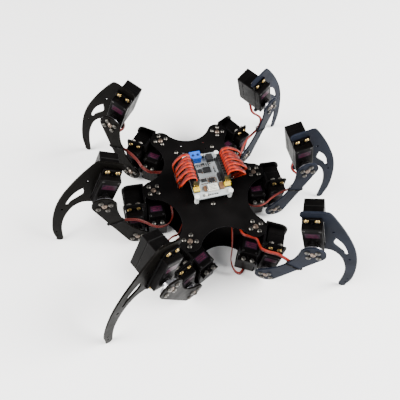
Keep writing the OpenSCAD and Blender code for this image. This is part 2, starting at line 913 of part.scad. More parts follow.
// Outer edge of the claw, inner edge, and its lightening hole, from the knee shaft
claw_outer = [[13, 45], [16.5, 43.5], [20.5, 36.5], [29, 15], [34, -1], [38, -17], [40.5, -36],
    [40.5, -55], [38.7, -74], [35, -92], [29, -106]];
claw_inner = [[21, -106], [24, -95], [27, -81], [28.5, -67], [28, -53], [25.7, -40], [21.5, -30],
    [15.5, -23.5], [9, -21.5]];
claw_hole = [[20.8, 1], [18.3, -6], [18.8, -11.5], [23, -18.5], [28, -27], [30.5, -33.5],
    [31.3, -27], [29.5, -17], [26, -7]];
claw_small = [[18.5, 12.5, 1.6], [33.5, -42, 1.6], [31.3, -91, 1.2], [29, -99, 1.2]];
window_x = servo_w / 2 + gap;
// The two arms across the ends of the knee servo
arm_x = -11;
arm_top = 45;
arm_bottom = -21.5;
arm_end_r = 4.8;

// Claw blank: the bent blade, its round tip and the round ends of its two arms
module claw_blank() {
    upright_plate(ear_plane_y, plate_t)
        polygon(concat([[arm_x + arm_end_r, arm_top]], curve(claw_outer, 4), curve(claw_inner, 4),
            [[arm_x + arm_end_r, arm_bottom]]));
    upright_plate(ear_plane_y, plate_t)
        translate([tip_x, tip_z])
            circle(tip_r);
    for (z = [arm_top - arm_end_r, arm_bottom + arm_end_r])
        upright_plate(ear_plane_y, plate_t)
            translate([arm_x + arm_end_r, z])
                circle(arm_end_r);
}

// Everything cut out of the claw, drawn as x and z
module claw_cuts() {
    translate([-window_x - 20, -shaft_in - gap])
        square([20 + 2 * window_x, servo_l + 2 * gap]);
    polygon(curve(concat(claw_hole, [claw_hole[0]]), 3));
    for (c = claw_small)
        translate([c[0], c[1]])
            circle(c[2]);
    for (z = [near_hole, far_hole], x = [-ear_hole_w / 2, ear_hole_w / 2])
        translate([x, z])
            circle(m3_hole_r);
}

module tibia_claw(k) {
    color([0.13, 0.13, 0.15])
        in_tibia(k)
            difference() {
                claw_blank();
                upright_plate(ear_plane_y - tiny, plate_t + 2 * tiny)
                    claw_cuts();
            }
}

module tibia_servo(k) {
    color([0.07, 0.07, 0.08])
        in_tibia(k)
            shaft_along_y() {
                servo_case();
                ear_fasteners(true);
            }
}

bottom_plate();
top_plate();
body_standoffs();
body_screws();
hip_horns();
hip_screws();
hip_bearings();
board_pillars();
controller_board();
board_chips();
power_terminal();
pin_headers();
lead_plugs();
left_lead_slack();
right_lead_slack();
left_leg_leads();
right_leg_leads();
coxa_bracket(0);  // coxa_bracket_right_front
coxa_servos(0);  // coxa_servos_right_front
coxa_screws(0);  // coxa_screws_right_front
femur_plate(0);  // femur_plate_right_front
femur_horns(0);  // femur_horns_right_front
tibia_claw(0);  // tibia_claw_right_front
tibia_servo(0);  // tibia_servo_right_front
coxa_bracket(1);  // coxa_bracket_right_middle
coxa_servos(1);  // coxa_servos_right_middle
coxa_screws(1);  // coxa_screws_right_middle
femur_plate(1);  // femur_plate_right_middle
femur_horns(1);  // femur_horns_right_middle
tibia_claw(1);  // tibia_claw_right_middle
tibia_servo(1);  // tibia_servo_right_middle
coxa_bracket(2);  // coxa_bracket_right_rear
coxa_servos(2);  // coxa_servos_right_rear
coxa_screws(2);  // coxa_screws_right_rear
femur_plate(2);  // femur_plate_right_rear
femur_horns(2);  // femur_horns_right_rear
tibia_claw(2);  // tibia_claw_right_rear
tibia_servo(2);  // tibia_servo_right_rear
coxa_bracket(3);  // coxa_bracket_left_front
coxa_servos(3);  // coxa_servos_left_front
coxa_screws(3);  // coxa_screws_left_front
femur_plate(3);  // femur_plate_left_front
femur_horns(3);  // femur_horns_left_front
tibia_claw(3);  // tibia_claw_left_front
tibia_servo(3);  // tibia_servo_left_front
coxa_bracket(4);  // coxa_bracket_left_middle
coxa_servos(4);  // coxa_servos_left_middle
coxa_screws(4);  // coxa_screws_left_middle
femur_plate(4);  // femur_plate_left_middle
femur_horns(4);  // femur_horns_left_middle
tibia_claw(4);  // tibia_claw_left_middle
tibia_servo(4);  // tibia_servo_left_middle
coxa_bracket(5);  // coxa_bracket_left_rear
coxa_servos(5);  // coxa_servos_left_rear
coxa_screws(5);  // coxa_screws_left_rear
femur_plate(5);  // femur_plate_left_rear
femur_horns(5);  // femur_horns_left_rear
tibia_claw(5);  // tibia_claw_left_rear
tibia_servo(5);  // tibia_servo_left_rear
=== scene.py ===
"""Looks of the six-legged walking robot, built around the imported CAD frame.

Sizes and route points are in mm, as in the CAD; Build.piece turns them into Blender's metres.
"""
import json
import math
import random

import bmesh
import bpy
from mathutils import Matrix, Vector


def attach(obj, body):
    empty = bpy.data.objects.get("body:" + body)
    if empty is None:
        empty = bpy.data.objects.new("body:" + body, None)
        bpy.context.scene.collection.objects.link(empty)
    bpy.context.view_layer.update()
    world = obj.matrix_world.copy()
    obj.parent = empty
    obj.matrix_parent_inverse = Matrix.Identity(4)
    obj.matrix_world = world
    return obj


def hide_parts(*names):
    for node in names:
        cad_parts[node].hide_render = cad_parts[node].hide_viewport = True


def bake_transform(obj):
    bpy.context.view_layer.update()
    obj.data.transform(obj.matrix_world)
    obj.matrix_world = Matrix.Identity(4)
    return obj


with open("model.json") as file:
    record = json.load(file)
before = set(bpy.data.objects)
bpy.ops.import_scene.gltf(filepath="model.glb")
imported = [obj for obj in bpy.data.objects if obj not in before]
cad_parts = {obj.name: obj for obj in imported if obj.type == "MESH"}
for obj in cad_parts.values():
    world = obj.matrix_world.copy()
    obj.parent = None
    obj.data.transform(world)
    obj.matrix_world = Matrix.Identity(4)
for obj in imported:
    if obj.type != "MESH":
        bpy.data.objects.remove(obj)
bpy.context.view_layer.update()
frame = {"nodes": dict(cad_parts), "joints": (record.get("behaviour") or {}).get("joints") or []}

MM = 0.001
LEGS = ("right_front", "right_middle", "right_rear", "left_front", "left_middle", "left_rear")

# ---- camera ----

EYE = Vector((-0.105, -0.2375, 0.4135))
AIM = Vector((-0.013, -0.024, 0.050))
ROLL = math.radians(8.66)
LENS_MM = 32.6
SENSOR_MM = 36
CLIP_NEAR = 0.01


def make_camera():
    data = bpy.data.cameras.new("camera")
    data.lens = LENS_MM
    data.sensor_width = SENSOR_MM
    data.clip_start = CLIP_NEAR
    camera = bpy.data.objects.new("camera", data)
    bpy.context.scene.collection.objects.link(camera)
    aim = (AIM - EYE).to_track_quat("-Z", "Y").to_matrix().to_4x4()
    camera.matrix_world = Matrix.Translation(EYE) @ aim @ Matrix.Rotation(ROLL, 4, "Z")
    bpy.context.scene.camera = camera


make_camera()

# ---- materials ----

# The middle part of a noise texture's range, and the depths of bumps in metres
NOISE_LOW, NOISE_HIGH = 0.3, 0.7
GRAIN_DEPTH, MARK_DEPTH = 0.0001, 0.0002
WEAR_RADIUS = 0.0004


def rgba(colour):
    """The colour with full opacity."""
    return (*colour, 1.0)


class Shader:
    """A Principled material and short ways to add nodes to it."""

    def __init__(self, name, colour, roughness, metallic=0.0, **sockets):
        self.material = bpy.data.materials.new(name)
        self.material.use_nodes = True
        self.tree = self.material.node_tree
        self.shader = self.tree.nodes["Principled BSDF"]
        self.set("Base Color", rgba(colour))
        self.set("Roughness", roughness)
        self.set("Metallic", metallic)
        for key, value in sockets.items():
            self.set(key.replace("_", " "), value)
        self.coords = self.node("ShaderNodeTexCoord").outputs["Object"]
        self.colour = colour
        self.normal = None

    def set(self, socket, value):
        self.shader.inputs[socket].default_value = value

    def node(self, kind, **values):
        made = self.tree.nodes.new(kind)
        for key, value in values.items():
            if hasattr(made, key):
                setattr(made, key, value)
            else:
                made.inputs[key].default_value = value
        return made

    def link(self, a, b):
        self.tree.links.new(a, b)
        return b

    def stretched(self, scale):
        """Object coordinates scaled differently along each axis."""
        mapping = self.node("ShaderNodeMapping")
        mapping.inputs["Scale"].default_value = scale
        self.link(self.coords, mapping.inputs["Vector"])
        return mapping.outputs["Vector"]

    def noise(self, scale, detail=3.0, vector=None):
        made = self.node("ShaderNodeTexNoise", Scale=scale, Detail=detail)
        self.link(vector or self.coords, made.inputs["Vector"])
        return made.outputs["Fac"]

    def remap(self, value, low, high, to_low, to_high):
        """Carries low..high over to to_low..to_high and clamps what lies outside."""
        made = self.node("ShaderNodeMapRange")
        for key, number in (("From Min", low), ("From Max", high), ("To Min", to_low), ("To Max", to_high)):
            made.inputs[key].default_value = number
        self.link(value, made.inputs["Value"])
        return made.outputs["Result"]

    def mix(self, factor, a, b):
        """Blend of two colours, each a tuple or another node's output."""
        made = self.node("ShaderNodeMix", data_type="RGBA")
        self.link(factor, made.inputs["Factor"])
        for socket, value in ((made.inputs[6], a), (made.inputs[7], b)):
            if isinstance(value, tuple):
                socket.default_value = rgba(value)
            else:
                self.link(value, socket)
        return made.outputs[2]

    def paint(self, colour):
        self.link(colour, self.shader.inputs["Base Color"])

    def mottle(self, scale, spread, detail=4.0):
        """Colour that drifts lighter and darker by spread."""
        dark = tuple(c * (1 - spread) for c in self.colour)
        light = tuple(min(1.0, c * (1 + spread)) for c in self.colour)
        factor = self.remap(self.noise(scale, detail), NOISE_LOW, NOISE_HIGH, 0, 1)
        self.last = self.mix(factor, dark, light)
        self.paint(self.last)
        return self.last

    def rough(self, scale, low, high):
        value = self.remap(self.noise(scale, 4.0), NOISE_LOW, NOISE_HIGH, low, high)
        self.link(value, self.shader.inputs["Roughness"])

    def bump(self, height, strength, distance):
        """Adds a bump on top of those already there."""
        made = self.node("ShaderNodeBump", Strength=strength, Distance=distance)
        self.link(height, made.inputs["Height"])
        if self.normal:
            self.link(self.normal, made.inputs["Normal"])
        self.normal = made.outputs["Normal"]
        self.link(self.normal, self.shader.inputs["Normal"])

    def edge_wear_and_highlight(self, colour, radius, amount):
        """A lighter, broken line along sharp edges: partly edge wear, partly a painted edge highlight."""
        bevel = self.node("ShaderNodeBevel", Radius=radius)
        geometry = self.node("ShaderNodeNewGeometry")
        dot = self.node("ShaderNodeVectorMath", operation="DOT_PRODUCT")
        self.link(bevel.outputs["Normal"], dot.inputs[0])
        self.link(geometry.outputs["Normal"], dot.inputs[1])
        edge = self.remap(dot.outputs["Value"], 0.99, 0.75, 0, 1)
        broken = self.remap(self.noise(900, 5.0), 0.35, 0.65, amount * 0.3, amount)
        both = self.node("ShaderNodeMath", operation="MULTIPLY")
        self.link(edge, both.inputs[0])
        self.link(broken, both.inputs[1])
        self.last = self.mix(both.outputs["Value"], self.last, colour)
        self.paint(self.last)


def plate_material(name, colour, gloss, edge):
    """Black anodised sheet: faint rolling grain, handling marks, paler edges that are partly wear and
    partly a painted highlight.
    """
    s = Shader(name, colour, 0.38, 0.0, Specular_IOR_Level=gloss)
    s.mottle(28, 0.4)
    s.edge_wear_and_highlight(edge, WEAR_RADIUS, 0.6)
    s.rough(60, 0.30, 0.46)
    s.bump(s.noise(2600, 2.0), 0.10, GRAIN_DEPTH)
    s.bump(s.noise(500, 3.0, s.stretched((1.0, 0.08, 1.0))), 0.06, MARK_DEPTH)
    return s.material


def case_material():
    """Semi-gloss black moulded case with a fine spark-eroded grain."""
    s = Shader("servo_case", (0.0014, 0.0012, 0.0012), 0.32, 0.0, Specular_IOR_Level=0.035)
    s.mottle(90, 0.35)
    # Lighter edges: partly wear, partly a painted highlight.
    s.edge_wear_and_highlight((0.010, 0.010, 0.011), WEAR_RADIUS, 0.5)
    s.rough(120, 0.30, 0.44)
    s.bump(s.noise(3800, 2.0), 0.22, GRAIN_DEPTH)
    return s.material


def metal_material(name, colour, roughness, spread=0.12):
    """Turned or rolled metal with a fine grain and uneven shine."""
    s = Shader(name, colour, roughness, 1.0)
    s.mottle(300, spread)
    s.rough(700, roughness * 0.75, roughness * 1.3)
    s.bump(s.noise(1500, 3.0), 0.12, GRAIN_DEPTH)
    return s.material


def plastic_material(name, colour, roughness, spread=0.12):
    """Moulded plastic with a faint drift of colour and shine."""
    s = Shader(name, colour, roughness)
    s.mottle(160, spread)
    s.rough(320, roughness * 0.8, roughness * 1.2)
    s.bump(s.noise(2400, 3.0), 0.15, GRAIN_DEPTH)
    return s.material


def matt_material(name, colour, roughness):
    """Dull moulded nylon that takes almost no shine from the floor."""
    s = Shader(name, colour, roughness, 0.0, Specular_IOR_Level=0.06)
    s.mottle(200, 0.15)
    s.rough(400, roughness * 0.85, roughness * 1.15)
    s.bump(s.noise(2400, 3.0), 0.15, GRAIN_DEPTH)
    return s.material


def wire_material(name, colour):
    """Soft insulation: satin, faintly mottled, with shallow draw lines."""
    s = Shader(name, colour, 0.42, 0.0, Specular_IOR_Level=0.22)
    s.mottle(120, 0.22)
    s.rough(260, 0.34, 0.50)
    s.bump(s.noise(900, 3.0), 0.25, GRAIN_DEPTH)
    return s.material


def board_material():
    """Pale circuit board: tracks under the lacquer, and tinned pads."""
    s = Shader("circuit_board", (0.34, 0.36, 0.37), 0.32, 0.0, Coat_Weight=0.3, Coat_Roughness=0.2)
    s.mottle(60, 0.06)
    cells = s.node("ShaderNodeTexVoronoi", distance="MANHATTAN", feature="F1", Scale=330)
    s.link(s.coords, cells.inputs["Vector"])
    track = s.remap(cells.outputs["Distance"], 0.52, 0.60, 0, 0.55)
    s.last = s.mix(track, s.last, (0.28, 0.31, 0.32))
    dots = s.node("ShaderNodeTexVoronoi", feature="F1", Scale=520, Randomness=0.25)
    s.link(s.coords, dots.inputs["Vector"])
    pad = s.remap(dots.outputs["Distance"], 0.16, 0.10, 0, 0.7)
    s.last = s.mix(pad, s.last, (0.36, 0.32, 0.21))
    s.paint(s.last)
    s.bump(track, 0.25, GRAIN_DEPTH)
    return s.material


def label_material(name, colour):
    """Printed foil label with a faint weave of print dots."""
    s = Shader(name, colour, 0.34, 0.25, Coat_Weight=0.06, Coat_Roughness=0.2, Specular_IOR_Level=0.15)
    s.mottle(220, 0.35)
    s.bump(s.noise(2000, 2.0), 0.08, GRAIN_DEPTH)
    return s.material


PLATE = plate_material("anodised_plate", (0.0018, 0.0016, 0.0016), 0.05, (0.030, 0.030, 0.034))
# The limb plates are one black anodised sheet in two copies. The right legs' copy has a painted cool sheen
# that stands for the floor's reflection. The left legs' copy has painted warm shade, and its edge colours
# follow the same painted light.
LIMB_PAINTED_SHEEN = plate_material("limb_painted_cool_sheen", (0.0080, 0.0100, 0.0160), 0.015, (0.050, 0.056, 0.070))
LIMB_PAINTED_SHADE = plate_material("limb_painted_warm_shade", (0.0022, 0.0019, 0.0016), 0.015, (0.034, 0.032, 0.028))
CASE = case_material()
STEEL = metal_material("screw_steel", (0.095, 0.089, 0.080), 0.34, 0.25)
CASE_SCREW = metal_material("case_screw", (0.035, 0.034, 0.034), 0.36, 0.25)
BRASS = metal_material("screw_brass", (0.34, 0.235, 0.085), 0.27, 0.2)
HORN = metal_material("turned_horn", (0.20, 0.20, 0.215), 0.32)
BRONZE = metal_material("centre_screw", (0.20, 0.15, 0.12), 0.36)
TIN = metal_material("tinned_lead", (0.55, 0.55, 0.54), 0.30)
GOLD = metal_material("gilt_pin", (0.83, 0.66, 0.30), 0.24)
POST = metal_material("post_brass", (0.62, 0.48, 0.24), 0.32)
BEARING = metal_material("bearing_ring", (0.66, 0.66, 0.68), 0.18)
NYLON = plastic_material("nylon", (0.55, 0.56, 0.54), 0.42, 0.05)
BOARD = board_material()
CHIP = plastic_material("chip_resin", (0.008, 0.008, 0.009), 0.48, 0.3)
BLUE = plastic_material("terminal_blue", (0.006, 0.075, 0.42), 0.30, 0.15)
HEADER = plastic_material("header_black", (0.007, 0.007, 0.007), 0.40, 0.25)
YELLOW = plastic_material("header_yellow", (0.62, 0.44, 0.008), 0.36, 0.12)
PLUG = plastic_material("plug_black", (0.008, 0.008, 0.008), 0.38, 0.25)
CERAMIC = plastic_material("capacitor_body", (0.12, 0.060, 0.030), 0.40, 0.3)
SILK = plastic_material("board_print", (0.05, 0.05, 0.055), 0.50, 0.15)
SOCKET = plastic_material("socket_white", (0.50, 0.49, 0.44), 0.40, 0.06)
TIE = matt_material("tie_nylon", (0.0025, 0.0025, 0.0028), 0.62)
ORANGE = wire_material("wire_orange", (0.34, 0.021, 0.0020))
# Darkened copies of the orange and red wires, as painted shade for the leg leads: a light one for the right
# legs and deeper ones for the left legs.
ORANGE_PAINTED_SHADE = wire_material("wire_orange_painted_shade", (0.23, 0.0135, 0.0020))
ORANGE_PAINTED_DEEP_SHADE = wire_material("wire_orange_painted_deep_shade", (0.085, 0.0042, 0.0020))
RED_PAINTED_DEEP_SHADE = wire_material("wire_red_painted_deep_shade", (0.065, 0.0028, 0.0020))
RED = wire_material("wire_red", (0.20, 0.008, 0.005))
BROWN = wire_material("wire_brown", (0.060, 0.007, 0.005))
LABEL = label_material("label_ground", (0.012, 0.004, 0.011))
LABEL_LIGHT = label_material("label_print", (0.048, 0.0055, 0.020))


def finish_node(name, *materials, choose=None):
    """Gives a CAD node its materials; choose(centre) picks one for each of its faces."""
    mesh = frame["nodes"][name].data
    mesh.materials.clear()
    for material in materials:
        mesh.materials.append(material)
    if choose:
        for face in mesh.polygons:
            face.material_index = choose(face.center)


# ---- sizes shared with the CAD, in mm ----

PLATE_T = 2.0
BODY_GAP = 49.0
DECK_UNDER = PLATE_T + BODY_GAP
DECK_TOP = DECK_UNDER + PLATE_T
COXA_LEN = 25.5
FEMUR_Z = 17.5
HORN_FACE_Y = 37.5
SERVO_L, SERVO_W, SERVO_H = 40.7, 19.7, 37.5
SHAFT_IN = 10.2
EAR_L, EAR_HOLE_L, EAR_HOLE_W = 54.5, 49.5, 10.0
EAR_Z, EAR_T = 27.5, 2.5
BOSS_TOP, HORN_FACE = 39.0, 45.5
SERVO_FAR = SERVO_L - SHAFT_IN
SERVO_MID = SERVO_L / 2 - SHAFT_IN
HIP_BASE_Z = DECK_UNDER - HORN_FACE
SIDE_BASE_Y = HORN_FACE_Y - HORN_FACE
EAR_SPOTS = [(SERVO_MID + sx * EAR_HOLE_L / 2, sy * EAR_HOLE_W / 2) for sx in (-1, 1) for sy in (-1, 1)]
# Horn screws lie at multiples of HORN_STEP degrees on a circle, round a middle screw
HORN_PCD, HORN_STEP = 14.0, 45
HORN_SCREWS_R, MIDDLE_SCREW_R = 12.0, 3.5
SOCKET_R = 1.12
EAR_HEAD_H = 2.2
FEMUR_LEN = 81.0
LEAN = {"right_front": 22, "right_middle": 19.5, "right_rear": 23,
        "left_front": 20, "left_middle": 22.5, "left_rear": 24}
BOARD_AT = (2.0, 1.5)
BOARD_W, BOARD_T = 46.0, 1.6
PILLAR_H = 8.0
BOARD_TOP = DECK_TOP + PILLAR_H + BOARD_T
HEADER_INSET = 4.2
HEADER_X = BOARD_W / 2 - HEADER_INSET
HEADER_H = 2.5
PLUG_PITCH, PLUG_FIRST, PLUG_H = 3.81, -14.5, 14.0

JOINTS = {j["name"]: j for j in frame["joints"]}


def columns(x, y, z, origin):
    """Matrix of the frame with these axes and this origin."""
    return Matrix(((x[0], y[0], z[0], origin[0]), (x[1], y[1], z[1], origin[1]),
                   (x[2], y[2], z[2], origin[2]), (0, 0, 0, 1)))


# The servo frame turned so that its shaft runs along y
SHAFT_ALONG_Y = columns((0, 0, 1), (1, 0, 0), (0, 1, 0), (0, SIDE_BASE_Y, 0))


class Leg:
    """Frames of one leg, in mm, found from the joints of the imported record."""

    def __init__(self, index, name):
        self.index, self.name = index, name
        self.side = 1 if name.startswith("right") else -1
        hip = Vector(JOINTS["hip_yaw_" + name]["pos_m"]) / MM
        pivot = Vector(JOINTS["femur_lift_" + name]["pos_m"]) / MM
        knee = Vector(JOINTS["knee_" + name]["pos_m"]) / MM
        out = Vector((pivot.x - hip.x, pivot.y - hip.y, 0)).normalized()
        back = Vector((out.y, -out.x, 0)) * self.side
        up = Vector((0, 0, 1))
        along = (knee - pivot).normalized()
        across = (up - along * along.z).normalized()
        lean = math.radians(LEAN[name])
        self.leg = columns(out, back, up, (hip.x, hip.y, 0))
        self.femur = columns(along, back, across, pivot)
        foot_x = out * math.cos(lean) + up * math.sin(lean)
        foot_z = up * math.cos(lean) - out * math.sin(lean)
        self.tibia = columns(foot_x, back, foot_z, knee)
        quarter = Matrix.Rotation(math.pi / 2, 4, "Z")
        self.hip_servo = self.leg @ Matrix.Translation((0, 0, HIP_BASE_Z)) @ quarter
        self.femur_servo = self.leg @ Matrix.Translation((COXA_LEN, 0, FEMUR_Z)) @ SHAFT_ALONG_Y
        self.knee_servo = self.tibia @ SHAFT_ALONG_Y

    def body(self, part):
        """Name of this leg's body: coxa, femur or tibia."""
        return part + "_" + self.name


LEG_LIST = [Leg(i, name) for i, name in enumerate(LEGS)]

# ---- mesh code ----


class Build:
    """A mesh built up in mm from small solids, each in one of the piece's materials."""

    def __init__(self):
        self.bm = bmesh.new()

    def _take(self, other, slot, matrix):
        """Adds the solid held in the mesh `other`."""
        if matrix is not None:
            bmesh.ops.transform(other, matrix=matrix, verts=other.verts)
            if matrix.determinant() < 0:
                bmesh.ops.reverse_faces(other, faces=other.faces)
        made = {v: self.bm.verts.new(v.co) for v in other.verts}
        for face in other.faces:
            new = self.bm.faces.new([made[v] for v in face.verts])
            new.material_index = slot
            new.smooth = face.smooth
        other.free()

    def box(self, low, high, slot=0, bevel=0.0, matrix=None, segments=2):
        """A block between two corners, with rounded edges where bevel is given."""
        other = bmesh.new()
        bmesh.ops.create_cube(other, size=1)
        for v in other.verts:
            v.co = Vector([(low[i] + high[i]) / 2 + v.co[i] * (high[i] - low[i]) for i in range(3)])
        if bevel:
            bmesh.ops.bevel(other, geom=other.edges[:], offset=bevel, segments=segments,
                            profile=0.5, affect="EDGES", clamp_overlap=True)
        self._take(other, slot, matrix)

    def lathe(self, profile, slot=0, sides=24, matrix=None):
        """A closed solid of revolution about z; the profile runs from the bottom to the top as (r, z)."""
        other = bmesh.new()
        rings = []
        for r, z in profile:
            if r < 1e-6:
                rings.append([other.verts.new((0, 0, z))])
            else:
                angles = [2 * math.pi * i / sides for i in range(sides)]
                rings.append([other.verts.new((r * math.cos(a), r * math.sin(a), z)) for a in angles])
        for a, b in zip(rings, rings[1:]):
            for i in range(sides):
                j = (i + 1) % sides
                if len(a) == 1 and len(b) == 1:
                    continue
                if len(a) == 1:
                    other.faces.new((a[0], b[j], b[i]))
                elif len(b) == 1:
                    other.faces.new((a[i], a[j], b[0]))
                else:
                    other.faces.new((a[i], a[j], b[j], b[i]))
        for ring, flip in ((rings[0], True), (rings[-1], False)):
            if len(ring) > 1:
                other.faces.new(list(reversed(ring)) if flip else ring)
        for face in other.faces:
            face.smooth = len(face.verts) <= 4
        self._take(other, slot, matrix)

    def strand(self, points, sides_along, offset, radius, slot=0, sides=8):
        """A closed round wire, shifted from the points by offset along their sideways directions."""
        other = bmesh.new()
        rings = []
        for i, point in enumerate(points):
            ahead = points[min(i + 1, len(points) - 1)] - points[max(i - 1, 0)]
            ahead.normalize()
            side = sides_along[i]
            up = ahead.cross(side)
            middle = point + side * offset
            rings.append([other.verts.new(middle + (side * math.cos(a) + up * math.sin(a)) * radius)
                          for a in [2 * math.pi * j / sides for j in range(sides)]])
        for a, b in zip(rings, rings[1:]):
            for i in range(sides):
                j = (i + 1) % sides
                face = other.faces.new((a[i], a[j], b[j], b[i]))
                face.smooth = True
        other.faces.new(list(reversed(rings[0])))
        other.faces.new(rings[-1])
        self._take(other, slot, None)

    def piece(self, name, body, slot, materials):
        bmesh.ops.scale(self.bm, vec=(MM, MM, MM), verts=self.bm.verts)
        mesh = bpy.data.meshes.new(name)
        self.bm.to_mesh(mesh)
        self.bm.free()
        for material in materials:
            mesh.materials.append(material)
        made = bpy.data.objects.new(name, mesh)
        bpy.context.scene.collection.objects.link(made)
        if body:
            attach(made, body)
        return made


# ---- plates, posts and screws ----

for node in ("bottom_plate", "top_plate"):
    finish_node(node, PLATE)
for leg in LEG_LIST:
    finish_node("coxa_bracket_" + leg.name, PLATE)
    for part in ("femur_plate_", "tibia_claw_"):
        # Right legs take the copy with painted sheen, left legs the copy with painted shade.
        finish_node(part + leg.name, LIMB_PAINTED_SHEEN if leg.side > 0 else LIMB_PAINTED_SHADE)
finish_node("body_standoffs", POST)
finish_node("body_screws", STEEL)
finish_node("hip_horns", HORN)
finish_node("hip_bearings", BEARING)
finish_node("board_pillars", NYLON)
finish_node("controller_board", BOARD)
finish_node("power_terminal", BLUE)
finish_node("pin_headers", HEADER)
finish_node("lead_plugs", PLUG)


def in_socket(p):
    """Whether p, in a servo frame, lies in the socket of a horn screw, which is painted black as shade."""
    near = min(math.hypot(p.x - HORN_PCD / 2 * math.cos(a), p.y - HORN_PCD / 2 * math.sin(a))
               for a in (math.radians(HORN_STEP * i) for i in range(360 // HORN_STEP)))
    return near < SOCKET_R and p.z > HORN_FACE + PLATE_T


def horn_look(matrices):
    """Parts of a horn: 0 the turned disc, 1 the four screws, 2 the middle screw, 3 sockets painted black as
    shade.
    """
    frames = [m.inverted() for m in matrices]

    def choose(centre):
        for inverse in frames:
            p = inverse @ (centre / MM)
            reach = math.hypot(p.x, p.y)
            if reach < HORN_SCREWS_R and p.z > HORN_FACE + 0.01:
                return 3 if in_socket(p) else 2 if reach < MIDDLE_SCREW_R else 1
        return 0
    return choose


def ear_look(leg):
    """Ear fasteners: 0 brass heads, 1 steel heads, nuts and shanks, 2 sockets painted black as shade."""
    frames = (leg.hip_servo.inverted(), leg.femur_servo.inverted())
    top = EAR_Z + EAR_T

    def choose(centre):
        for index, inverse in enumerate(frames):
            p = inverse @ (centre / MM)
            if top < p.z < top + EAR_HEAD_H and -20 < p.x < 40 and abs(p.y) < 9:
                near = min(math.hypot(p.x - x, p.y - y) for x, y in EAR_SPOTS)
                return 2 if near < SOCKET_R else 1 - index
        return 1
    return choose


hip_look = horn_look([leg.hip_servo for leg in LEG_LIST])
finish_node("hip_screws", STEEL, STEEL, BRONZE, CHIP, choose=hip_look)
for leg in LEG_LIST:
    ends = [leg.femur @ Matrix.Translation((x, 0, 0)) @ SHAFT_ALONG_Y for x in (0, FEMUR_LEN)]
    finish_node("femur_horns_" + leg.name, HORN, STEEL, BRONZE, CHIP, choose=horn_look(ends))
    finish_node("coxa_screws_" + leg.name, BRASS, STEEL, CHIP, choose=ear_look(leg))

# ---- servos ----

SERVO_LOOK = (CASE, HEADER, CASE_SCREW, LABEL, LABEL_LIGHT, BRASS, CHIP, STEEL)
servo_slot = SERVO_LOOK.index
NEAR_EAR, FAR_EAR = SERVO_MID - EAR_L / 2, SERVO_MID + EAR_L / 2
CORNER_IN = 2.4
CASE_CORNERS = [(x, y) for x in (-SHAFT_IN + CORNER_IN, SERVO_FAR - CORNER_IN)
                for y in (-SERVO_W / 2 + CORNER_IN, SERVO_W / 2 - CORNER_IN)]
# Heights of the two seams of the case: the top of the part below, and the foot of the part above
LOW_SEAM, HIGH_SEAM = (9.2, 9.4), (29.6, 29.8)
# The core that shows in the seams: how far it lies in, its foot and its top
CORE_IN, CORE_FOOT, CORE_TOP = 0.15, 9.0, 29.9
GLAND_LOW, GLAND_HIGH = (-SHAFT_IN - 1.8, -3, 3), (-SHAFT_IN + 0.4, 3, 6.4)
IDLER_X = 6.6
LABEL_FROM, LABEL_TO = (15.8, -7), (23.8, 7)
# Blank bars of a label, as shares of it: place across, start and end
LABEL_BARS = ((0.20, 0.08, 0.92), (0.48, 0.08, 0.55), (0.48, 0.66, 0.92), (0.78, 0.20, 0.80))


